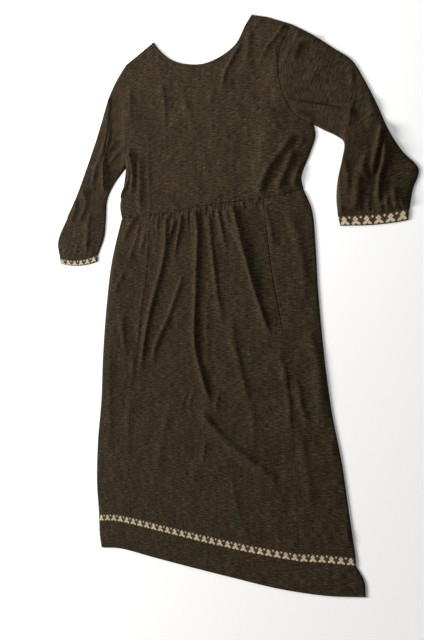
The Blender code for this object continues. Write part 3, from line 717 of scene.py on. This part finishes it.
# Gathers: where each stands on the waist seam, how far its foot leans, its length,
# height and half width
GATHERS = mm(
    (-141, -3, 30, 1.9, 4), (-126, -4, 60, 4.1, 4.6), (-101, -4, 26, 2.7, 2.6),
    (-95, -6, 20, 2.3, 2.4), (-57, 0, 22, 2.7, 2.6), (-49, -2, 60, 3, 4), (-20, 1, 34, 3, 3.2),
    (-13, 1, 22, 2.3, 2.4), (-6, 2, 50, 3, 3.6), (10, 4, 45, 3.4, 3.6), (16, 2, 18, 2.3, 2.4),
    (30, 4, 20, 2.3, 2.4), (47, 5, 24, 2.7, 2.8), (54, 4, 20, 2.7, 2.4), (71, 3, 18, 1.9, 2.6),
    (83, 4, 26, 2.7, 3.2), (97, 3, 16, 1.7, 2.6), (112, 3, 22, 2.3, 3.2),
    # the short ones between them
    (-134, -1, 14, 1.5, 2.2), (-118, -2, 16, 1.9, 2.2), (-88, -1, 13, 1.7, 2.2),
    (-76, -2, 12, 1.7, 2), (-63, 0, 15, 1.9, 2.2), (-36, 0, 12, 1.7, 2), (4, 1, 14, 1.9, 2.2),
    (24, 1, 12, 1.7, 2), (39, 1, 15, 1.9, 2.2), (64, 1, 12, 1.5, 2.2), (90, 1, 13, 1.5, 2.2),
    (104, 1, 14, 1.5, 2.2),
)
SKIRT_FOLDS = folds_mm(
    # height, left, right, lead, tail, crest
    # the broad fall of the cloth from the left side and from the gathers
    (3.8, 30, 80, 20, 80, ((-140, 196), (-146, 80))),
    (3.8, 30, 65, 20, 80, ((50, 196), (78, 85))),
    (5, 14, 70, 60, 150, ((-232, 160), (-256, 50), (-280, -100), (-298, -300))),
    # the three long folds of the centre piece and the one that crosses below them
    (6.2, 8.5, 5, 45, 60,
     ((-107, 195), (-104, 146), (-114, 91), (-145, 1), (-162, -57), (-185, -167))),
    (7, 9, 4.2, 12, 50,
     ((-29, 196), (-24, 138), (-28, 80), (-33, -2), (-37, -66), (-33, -116), (-14, -186), (1, -232))),
    (6.8, 8, 4.6, 12, 60, ((61, 196), (72, 151), (95, 60), (119, -24), (145, -96))),
    (6.4, 14, 5.2, 30, 35, ((-34, -231), (27, -292), (84, -329), (150, -370))),
    # shorter ones beside them
    (5.6, 5, 4, 12, 60, ((-64, 190), (-68, 162), (-75, 136), (-91, 82))),
    (4.4, 6, 3.6, 10, 35, ((-80, 180), (-91, 151), (-103, 122))),
    (2.4, 4.5, 3.4, 10, 35, ((-37, 192), (-39, 130))),
    (4.6, 8, 4.6, 12, 90, ((4, 190), (7, 124), (22, -5), (36, -66))),
    (5.2, 7, 4.4, 10, 60, ((23, 194), (34, 142), (45, 84))),
    (3.6, 5, 8, 15, 80, ((40, 192), (53, 153), (73, 111), (97, 43), (116, -25))),
    (4.8, 7, 6, 40, 50, ((-62, 60), (-105, -36), (-140, -100), (-150, -150))),
    (3.6, 11, 6.5, 40, 60, ((52, -27), (55, -79), (65, -131), (86, -214))),
    (2, 6, 4.5, 15, 30, ((-54, -187), (-67, -209), (-81, -252))),
    (1.7, 5, 4.5, 15, 25, ((-40, -185), (-51, -213), (-62, -243))),
    (2.4, 6, 6, 20, 25, ((21, -185), (13, -215), (8, -244))),
    (1.9, 7, 5, 25, 40, ((-13, -290), (-24, -333), (-32, -376))),
    (2.2, 12, 11, 35, 40, ((-130, -405), (-78, -414), (-31, -426))),
    (1.8, 9, 6, 25, 30, ((55, -473), (130, -483))),
    (2, 7, 5.5, 12, 25, ((141, -356), (137, -378), (132, -405))),
    (1.8, 9, 7, 40, 70, ((-11, 5), (-8, -88), (-12, -170))),
    (1.8, 10, 8, 40, 60, ((76, -155), (94, -253), (107, -312))),
    (1.8, 10, 8, 50, 70, ((-103, -210), (-134, -330), (-147, -410))),
    (1.8, 9, 7, 30, 40, ((36, -350), (53, -419), (61, -470))),
    (2.8, 8, 6, 30, 60, ((151, -95), (165, -151), (174, -210), (178, -296))),
    # left side piece
    (4.8, 11, 5.8, 10, 40, ((-190, 196), (-212, 166), (-232, 130))),
    (3.6, 6, 6, 15, 50, ((-178, 180), (-192, 136), (-209, 98), (-230, 75))),
    (3.2, 7, 6, 15, 30, ((-163, 163), (-169, 138), (-185, 101))),
    (3.4, 8, 5, 15, 20, ((-221, 74), (-238, 45), (-256, 23))),
    (3.4, 9, 6, 35, 45, ((-228, -16), (-229, -73), (-220, -129))),
    (2.2, 8, 6, 20, 30, ((-201, -115), (-207, -187))),
    (1.8, 5, 3.2, 30, 100, ((-149, 190), (-164, 70), (-185, -50), (-200, -160))),
    (1.8, 10, 7, 50, 80, ((-211, -195), (-219, -291), (-222, -414))),
    (1.8, 10, 8, 60, 80, ((-263, -50), (-273, -224), (-278, -350))),
    # right side piece
    (3, 7, 5, 12, 40, ((131, 185), (142, 145), (148, 110), (153, 84))),
    (3.6, 12, 10, 20, 60, ((178, 170), (188, 148), (202, 113), (209, 61), (224, -20))),
    (3.2, 12, 10, 40, 60, ((217, -55), (231, -115), (241, -190), (243, -280))),
    (3.2, 10, 6, 20, 30, ((187, -162), (198, -193), (202, -225), (217, -262))),
    (2, 7, 6, 20, 25, ((168, -127), (175, -196))),
    (2.4, 7, 5, 15, 20, ((257, -278), (265, -324))),
    (2, 10, 8, 40, 60, ((198, -262), (208, -344), (220, -450))),
    (2.2, 6, 5, 15, 15, ((287, -440), (291, -480))),
)


def gather_folds(gathers, seam, downwards=True):
    """Gathers written as folds that start at their seam."""
    order = 1 if downwards else -1
    for x, lean, length, height, half_width in gathers:
        y = np.interp(x, seam[:, 0], seam[:, 1])
        ends = [(x, y), (x + lean, y - order * length)]
        fades = [GATHER_START, GATHER_TAIL * length]
        yield height, half_width, GATHER_FLANK * half_width, *fades[::order], ends[::order]


skirt_seam_left = smooth(SKIRT_SEAM_LEFT)
skirt_seam_right = smooth(SKIRT_SEAM_RIGHT)
skirt_lie = {
    "folds": [*SKIRT_FOLDS, *gather_folds(GATHERS, waist)],
    "seams": [
        (coarse(waist), WAIST_GROOVE),
        (coarse(skirt_seam_left), MILD_GROOVE),
        (coarse(skirt_seam_right), FINE_GROOVE),
        (coarse(skirt_seam_right[skirt_seam_right[:, 1] > SEAM_CRISP_ABOVE]), CRISP_GROOVE),
    ],
    "turned": [coarse(skirt_side_left), coarse(skirt_side_right)],
}
skirt_rows = rimmed(SKIRT_LENGTH, SKIRT_STEP[1])
for name, left, right, bottom, top, width, flat, area, held in (
    ("skirt_front_left", skirt_side_left, skirt_seam_left, smooth(TRIM_LEFT),
     smooth(WAIST_LEFT), 0.09, (0.125, 0.7), 0.068, "laid"),
    ("skirt_front_centre", skirt_seam_left, skirt_seam_right, smooth(TRIM_CENTRE),
     smooth(WAIST_CENTRE), 0.35, (0.44, 0.71), 0.27, "gathered"),
    ("skirt_front_right", skirt_seam_right, skirt_side_right, smooth(TRIM_RIGHT),
     smooth(WAIST_RIGHT), 0.09, (0.13, 0.715), 0.062, "laid"),
):
    plan = drawn_in(between(left, right, bottom, top, skirt_rows, rimmed(width, SKIRT_STEP[0])))
    piece = make_piece(name, plan, front_height(plan, **skirt_lie))


# The braid border
# A woven braid with a small repeating border figure in cream on dark brown, set between
# the skirt and the hem band, front and back. Each cell of the chart is one raised float
# of yarn.
TRIM_HEIGHT = 0.016
TRIM_PROUD = 0.0006
TRIM_REPEATS = 33
TRIM_WIDTH = 0.62
GROUND_ROUGHNESS = 0.85
CREAM_ROUGHNESS = 0.8
BRAID_SHEEN = 0.1
BRAID_BUMP = (0.6, 0.0005)
FLOATS_PER_METRE = (420, 900)
FLOAT_RANGE = (0.32, 0.68)
RIB_PITCH = 0.00066
RIB_SHARE = 0.25
BRAID_GROUND = (0.04, 0.026, 0.019, 1)
BRAID_GROUND_LIGHT = (0.075, 0.048, 0.032, 1)
BRAID_CREAM = (0.47, 0.375, 0.24, 1)
BRAID_CREAM_LIGHT = (0.66, 0.56, 0.39, 1)
BRAID_CHART = (
    "..............",
    "#......#......",
    "##....###....#",
    "#....#####....",
    "....###.###...",
    ".....#####....",
    "......###.....",
    "....#######...",
    "...#########..",
    "..#####.#####.",
    "..####...####.",
    "..............",
)


def make_yarn(name, dark, light, roughness):
    """A woven yarn: two close colours in short floats, with fine ribs across them."""
    material, tree, surface, grain = start_cloth(name, roughness, BRAID_SHEEN)
    floats = yarn_noise(tree, grain, FLOATS_PER_METRE)
    colour = blend_colour(tree, ramp(tree, floats, *FLOAT_RANGE), dark, light)
    split = add_node(tree, "ShaderNodeSeparateXYZ", {0: grain})
    ribs = wave_of(tree, split.outputs["X"], RIB_PITCH)
    height = times_plus(tree, ribs, RIB_SHARE, floats)
    finish_cloth(tree, surface, colour, height, *BRAID_BUMP)
    return material


def braid_chart(repeats):
    """The chart from its bottom row up, repeated along the braid: 1 is cream."""
    rows = [[cell == "#" for cell in row * repeats] for row in reversed(BRAID_CHART)]
    return np.array(rows, int)


MATERIALS["braid"] = [
    make_yarn("braid_ground", BRAID_GROUND, BRAID_GROUND_LIGHT, GROUND_ROUGHNESS),
    make_yarn("braid_cream", BRAID_CREAM, BRAID_CREAM_LIGHT, CREAM_ROUGHNESS),
]

trim_foot = trim_top - (0, TRIM_HEIGHT)
trim_ends = [np.array([trim_foot[end], trim_top[end]]) for end in (0, -1)]
trim_lie = {
    "seams": [(coarse(trim_top), PLAIN_GROOVE), (coarse(trim_foot), PLAIN_GROOVE)],
    "turned": trim_ends,
}
chart = braid_chart(TRIM_REPEATS)
rows_up = np.linspace(0, 1, chart.shape[0] + 1)
columns_across = np.linspace(0, 1, chart.shape[1] + 1)
plan = drawn_in(between(*trim_ends, trim_foot, trim_top, rows_up, columns_across))
grain = np.stack(np.meshgrid(columns_across * TRIM_WIDTH, rows_up * TRIM_HEIGHT), axis=-1)
heights = front_height(plan, **trim_lie) + TRIM_PROUD
hem_trim = make_piece("hem_trim_front", plan, heights, "braid", grain=grain, chart=chart)

plan = drawn_in(plan, BACK_INSET, BACK_INSET)
heights = np.full(plan.shape[:2], WALL)
hem_trim_back = make_piece("hem_trim_back", plan, heights, "braid", grain=grain, chart=chart)


# The hem band
# A plain band of jersey below the braid, front and back, turned up and stitched at its
# lower edge.
BAND_SIDE_LEFT = mm((-309, -569), (-314, -540))
BAND_SIDE_RIGHT = mm((316, -568), (314, -540))
HEM = mm(
    (-309, -569), (-250, -563), (-160, -569), (-60, -575), (40, -580), (140, -584), (235, -580),
    (316, -568),
)
BAND_HEIGHT = 0.07
BAND_WIDTH = 0.63
BAND_STEP = 0.003

hem = smooth(HEM)
band_left = smooth([*BAND_SIDE_LEFT, trim_foot[0]])
band_right = smooth([*BAND_SIDE_RIGHT, trim_foot[-1]])
band_lie = {
    "seams": [(coarse(trim_foot), PLAIN_GROOVE)],
    "turned": [coarse(band_left), coarse(band_right)],
    "cut": [coarse(hem)],
}
rows_up, columns_across = rimmed(BAND_HEIGHT, BAND_STEP), rimmed(BAND_WIDTH, BAND_STEP)
plan = drawn_in(between(band_left, band_right, hem, trim_foot, rows_up, columns_across))
hem_band = make_piece("hem_band_front", plan, front_height(plan, **band_lie))

rows_up, columns_across = rimmed(BAND_HEIGHT, BACK_STEP), rimmed(BAND_WIDTH, BACK_STEP)
plan = between(band_left, band_right, hem, trim_foot, rows_up, columns_across)
plan = drawn_in(plan, BACK_INSET, BACK_INSET)
hem_band_back = make_piece("hem_band_back", plan, back_height(plan))


# The sleeves
# Three-quarter sleeves of jersey, each a flattened tube set into its armhole and gathered
# into its cuff. The left one lies along the body with a long crease beside the armhole,
# and the right one bends at the elbow with two strong pleats below it.
SLEEVE_LEFT_INNER = mm(
    (-218, 314), (-241, 294), (-262, 271), (-277, 243), (-281, 203), (-287, 160), (-307, 118),
)
SLEEVE_LEFT_OUTER = mm(
    (-213, 553), (-244, 520), (-268, 482), (-291, 428), (-315, 372), (-342, 317), (-371, 262),
    (-404, 212), (-432, 163), (-427, 120),
)
SLEEVE_RIGHT_INNER = mm(
    (239, 327), (260, 312), (282, 298), (298, 281), (293, 250), (284, 215), (280, 180), (282, 143),
)
SLEEVE_RIGHT_OUTER = mm(
    (198, 537), (243, 503), (282, 468), (317, 436), (341, 391), (362, 343), (382, 291), (406, 247),
    (433, 211), (422, 176), (415, 141),
)
CUFF_LEFT_TOP = mm((-307, 118), (-335, 112), (-368, 110), (-400, 114), (-427, 120))
CUFF_RIGHT_TOP = mm((282, 143), (315, 140), (348, 138), (382, 138), (415, 141))
SLEEVE_LEFT_FOLDS = folds_mm(
    # height, left, right, lead, tail, crest
    # the broad fall of the cloth from the outer side
    (6, 10, 55, 80, 30, ((-292, 440), (-338, 340), (-376, 260), (-398, 190))),
    # a sharp crease beside the longest fold
    (-3, 2.4, 2.4, 30, 60, ((-259, 470), (-260, 430), (-268, 380), (-272, 330))),
    (4.6, 16, 3, 12, 25,
     ((-262, 494), (-260, 452), (-261, 409), (-264, 372), (-275, 336), (-276, 293), (-279, 258))),
    (5, 8, 4.6, 25, 15, ((-274, 345), (-275, 305), (-278, 262))),
    (5.2, 7.5, 7.5, 25, 40, ((-268, 394), (-278, 360), (-300, 321), (-317, 274))),
    (3.4, 6, 4.5, 10, 15, ((-241, 382), (-267, 349))),
    (4.2, 6, 4.8, 15, 15, ((-214, 364), (-244, 342), (-267, 324))),
    (3.6, 6, 6, 15, 20, ((-344, 283), (-335, 253), (-337, 232), (-358, 196))),
    (4, 7, 5.5, 15, 15, ((-368, 258), (-365, 233), (-384, 200))),
    (4, 7.5, 6, 20, 25, ((-318, 225), (-330, 185), (-338, 124))),
)
SLEEVE_RIGHT_FOLDS = folds_mm(
    # height, left, right, lead, tail, crest
    # the broad fall of the cloth towards the outer side
    (11, 10, 65, 60, 12, ((312, 330), (296, 250), (294, 145))),
    (2.2, 8, 3, 20, 30, ((320, 427), (321, 389), (320, 362), (313, 326), (309, 292))),
    # the crease across it with a sharp line beside it, and the one at the elbow
    (4.8, 14, 4.4, 30, 20, ((188, 382), (232, 368), (291, 346), (333, 331))),
    (-2.4, 2.2, 2.6, 20, 30, ((206, 382), (249, 367), (301, 347))),
    (-1.8, 2.2, 2.6, 15, 20, ((324, 423), (322, 388), (315, 346))),
    # the swells below the elbow
    (3.6, 10, 10, 25, 40, ((350, 368), (354, 333), (345, 274))),
    (3, 10, 45, 50, 12, ((375, 320), (373, 240), (365, 141))),
    # two sharp creases beside the deepest folds
    (-4.5, 2.4, 3, 15, 25, ((381, 314), (373, 271), (365, 239), (357, 200))),
    (-4, 2.4, 3.4, 15, 25, ((384, 275), (383, 236), (373, 204), (367, 150))),
    (6.6, 8, 4.8, 25, 30, ((376, 314), (368, 271), (360, 239), (352, 200))),
    (6.4, 5.5, 5.2, 25, 30, ((378, 275), (377, 236), (367, 204), (361, 150))),
    (3.4, 6, 4.2, 12, 15, ((335, 231), (349, 197))),
    (5.6, 9, 8.5, 30, 12, ((356, 263), (336, 227), (327, 187), (320, 144))),
    (3.6, 7, 5, 25, 30, ((303, 255), (307, 213), (309, 172))),
    (5.2, 7, 5.6, 20, 8, ((389, 190), (393, 165), (396, 141))),
    (3.2, 5, 4.2, 20, 8, ((380, 182), (379, 140))),
    (2.8, 4.5, 4, 10, 8, ((404, 166), (404, 142))),
    (1.6, 14, 14, 30, 40, ((271, 463), (245, 426), (215, 391))),
)
# Gathers above each cuff: place on its seam, lean of the upper end, length, height and
# half width
CUFF_GATHERS_LEFT = mm(
    (-324, 8, 34, 1.2, 4.2), (-342, 14, 62, 1.8, 5), (-363, 22, 30, 1.2, 4.5),
    (-379, 30, 70, 1.6, 5.2), (-399, 16, 26, 1.2, 4.5), (-415, 12, 34, 1.1, 4.2),
    (-333, 4, 18, 0.8, 2.4), (-351, 6, 14, 0.9, 2.4), (-371, 8, 20, 0.9, 2.6),
    (-389, 6, 15, 0.8, 2.4), (-406, 4, 18, 0.8, 2.2),
)
CUFF_GATHERS_RIGHT = mm(
    (292, 0, 30, 1.2, 4), (305, 2, 18, 1, 3), (328, 3, 26, 1.4, 4), (343, 6, 60, 2, 4.8),
    (352, 2, 16, 1, 2.8), (366, 6, 36, 1.8, 4.2), (383, 4, 18, 1.1, 3), (398, 2, 14, 0.9, 2.4),
    (407, 3, 30, 1.2, 3.6), (336, 1, 14, 0.9, 2.4),
)
SLEEVE_WIDTH = 0.2
SLEEVE_STEP = (0.0018, 0.0028)
UNDER_STEP = 0.006
UNDER_ROLL = 0.0014
TUBE_EDGE_HEIGHT = 0.0011
SLEEVE_FADE = 2


def tube_ring(plan_of, top_of):
    """Plan and heights of a flattened tube: over the top, round both edges and back under."""
    over = rimmed(SLEEVE_WIDTH, SLEEVE_STEP[0])
    under = rimmed(SLEEVE_WIDTH, UNDER_STEP)[-2:0:-1]
    shares_round = np.concatenate([over, under, over[:1]])
    plan = plan_of(shares_round)
    heights = np.zeros(plan.shape[:2])
    heights[:, : len(over)] = top_of(plan[:, : len(over)])
    middle = slice(len(over), len(over) + len(under))
    rims = [plan[:, :1], plan[:, len(over) - 1: len(over)]]
    away = np.min([np.linalg.norm(plan[:, middle] - rim, axis=2) for rim in rims], axis=0)
    curl = 1 - np.sqrt(1 - (1 - np.clip(away / UNDER_ROLL, 0, 1)) ** 2)
    heights[:, middle] = TUBE_EDGE_HEIGHT * curl
    heights = np.maximum(heights, 0)
    heights[:, [0, len(over) - 1, -1]] = TUBE_EDGE_HEIGHT
    return plan, heights


# The lag holds back the rows of the inner edge near the armhole, where it is the shorter one
for side, armhole, inner, outer, cuff_seam, folds, gathers, length, lag, area, depth in (
    ("left", armhole_left, SLEEVE_LEFT_INNER, SLEEVE_LEFT_OUTER, CUFF_LEFT_TOP,
     SLEEVE_LEFT_FOLDS, CUFF_GATHERS_LEFT, 0.4, 1.8, 0.088, MILD_GROOVE),
    ("right", armhole_right, SLEEVE_RIGHT_INNER, SLEEVE_RIGHT_OUTER, CUFF_RIGHT_TOP,
     SLEEVE_RIGHT_FOLDS, CUFF_GATHERS_RIGHT, 0.38, 1.3, 0.104, CRISP_GROOVE),
):
    inner_line, outer_line = smooth(inner), smooth(outer)
    seam_line = smooth(cuff_seam)
    ordered = seam_line[np.argsort(seam_line[:, 0])]
    down = rimmed(length, SLEEVE_STEP[1])
    inner_edge, outer_edge = at(inner_line, down**lag), at(outer_line, down)

    def sleeve_plan(shares):
        """Rows from the armhole down to the cuff, columns from the inner edge outwards."""
        across, run_down = np.asarray(shares)[None, :, None], down[:, None, None]
        head, foot = at(armhole, shares), at(seam_line, shares)
        head_bow = head - (armhole[0] + across[0] * (armhole[-1] - armhole[0]))
        foot_bow = foot - (seam_line[0] + across[0] * (seam_line[-1] - seam_line[0]))
        straight = (1 - across) * inner_edge[:, None] + across * outer_edge[:, None]
        return straight + (1 - run_down) ** SLEEVE_FADE * head_bow + run_down**SLEEVE_FADE * foot_bow

    sleeve_lie = {
        "folds": [*BODICE_FOLDS, *folds, *gather_folds(gathers, ordered, downwards=False)],
        "seams": [(coarse(armhole), depth), (coarse(seam_line), PLAIN_GROOVE)],
        "turned": [coarse(inner_line), coarse(outer_line)],
    }
    plan, heights = tube_ring(sleeve_plan, lambda place: front_height(place, **sleeve_lie))
    from_inner = np.linalg.norm(plan - plan[:, :1], axis=2)
    run_along = np.broadcast_to((down * length)[:, None], from_inner.shape)
    grain = np.stack([from_inner, run_along], axis=-1)
    sleeve = make_piece(f"sleeve_{side}", plan, heights, grain=grain, closed=True)


# The cuffs
# The same braid made into elastic cuffs, each a short flattened tube.
CUFF_LEFT_EDGE = mm((-308, 103), (-337, 98), (-368, 97), (-398, 100), (-423, 106))
CUFF_RIGHT_EDGE = mm((286, 124), (318, 121), (348, 119), (381, 119), (412, 121))
CUFF_REPEATS = 6
CUFF_WIDTH = 0.12

for side, seam, edge, flat in (
    ("left", CUFF_LEFT_TOP, CUFF_LEFT_EDGE, (0.25, 0.014)),
    ("right", CUFF_RIGHT_TOP, CUFF_RIGHT_EDGE, (0.265, 0.019)),
):
    seam_line, edge_line = smooth(seam), smooth(edge)
    half = braid_chart(CUFF_REPEATS)
    chart = np.hstack([half, half])
    up = np.linspace(0, 1, half.shape[0] + 1)
    over = np.linspace(0, 1, half.shape[1] + 1)
    round_it = np.append(over, over[-2::-1])
    ends = [np.array([edge_line[end], seam_line[end]]) for end in (0, -1)]
    plan = drawn_in(between(*ends, edge_line, seam_line, up, over), left=0, right=0)
    cuff_lie = {
        "seams": [(coarse(seam_line), PLAIN_GROOVE)],
        "turned": ends,
        "cut": [coarse(edge_line)],
    }
    top = front_height(plan, **cuff_lie) + TRIM_PROUD
    top[:, 0] = top[:, -1] = TUBE_EDGE_HEIGHT
    ring = np.hstack([plan, plan[:, -2::-1]])
    under = np.zeros((len(up), len(over) - 1))
    under[:, -1] = TUBE_EDGE_HEIGHT
    heights = np.hstack([top, under])
    grain = np.stack(np.meshgrid(round_it * CUFF_WIDTH, up * TRIM_HEIGHT), axis=-1)
    cuff = make_piece(f"cuff_{side}", ring, heights, "braid", grain, closed=True, chart=chart)


# The neck binding
# A narrow strip of the same jersey folded over the raw edge of the neckline, slightly
# plump, with a flat half under it at the back.
BINDING_PLUMP = 0.0004
BINDING_LENGTH = 0.31
BINDING_ROWS = 9
BINDING_COLUMNS = 161

binding_ends = [np.array([neck_seam[end], neckline[end]]) for end in (0, -1)]
rows_up, columns_across = np.linspace(0, 1, BINDING_ROWS), np.linspace(0, 1, BINDING_COLUMNS)
plan = drawn_in(between(*binding_ends, neck_seam, neckline, rows_up, columns_across))
crown = np.sqrt(np.clip(1 - (2 * rows_up - 1) ** 2, 0, 1))[:, None]
binding_lie = {
    "folds": BODICE_FOLDS,
    "seams": [(coarse(neck_seam), FINE_GROOVE)],
    "turned": bodice_lie["turned"][2:],
    "cut": [coarse(neckline)],
}
heights = front_height(plan, **binding_lie) + BINDING_PLUMP * crown
run_along, run_across = np.meshgrid(columns_across * BINDING_LENGTH, rows_up * BINDING_WIDTH)
grain = np.stack([run_across, run_along], axis=-1)
binding = make_piece("neck_binding_front", plan, heights, grain=grain)

flat_heights = np.full(plan.shape[:2], WALL)
binding_back = make_piece("neck_binding_back", plan, flat_heights, grain=grain)
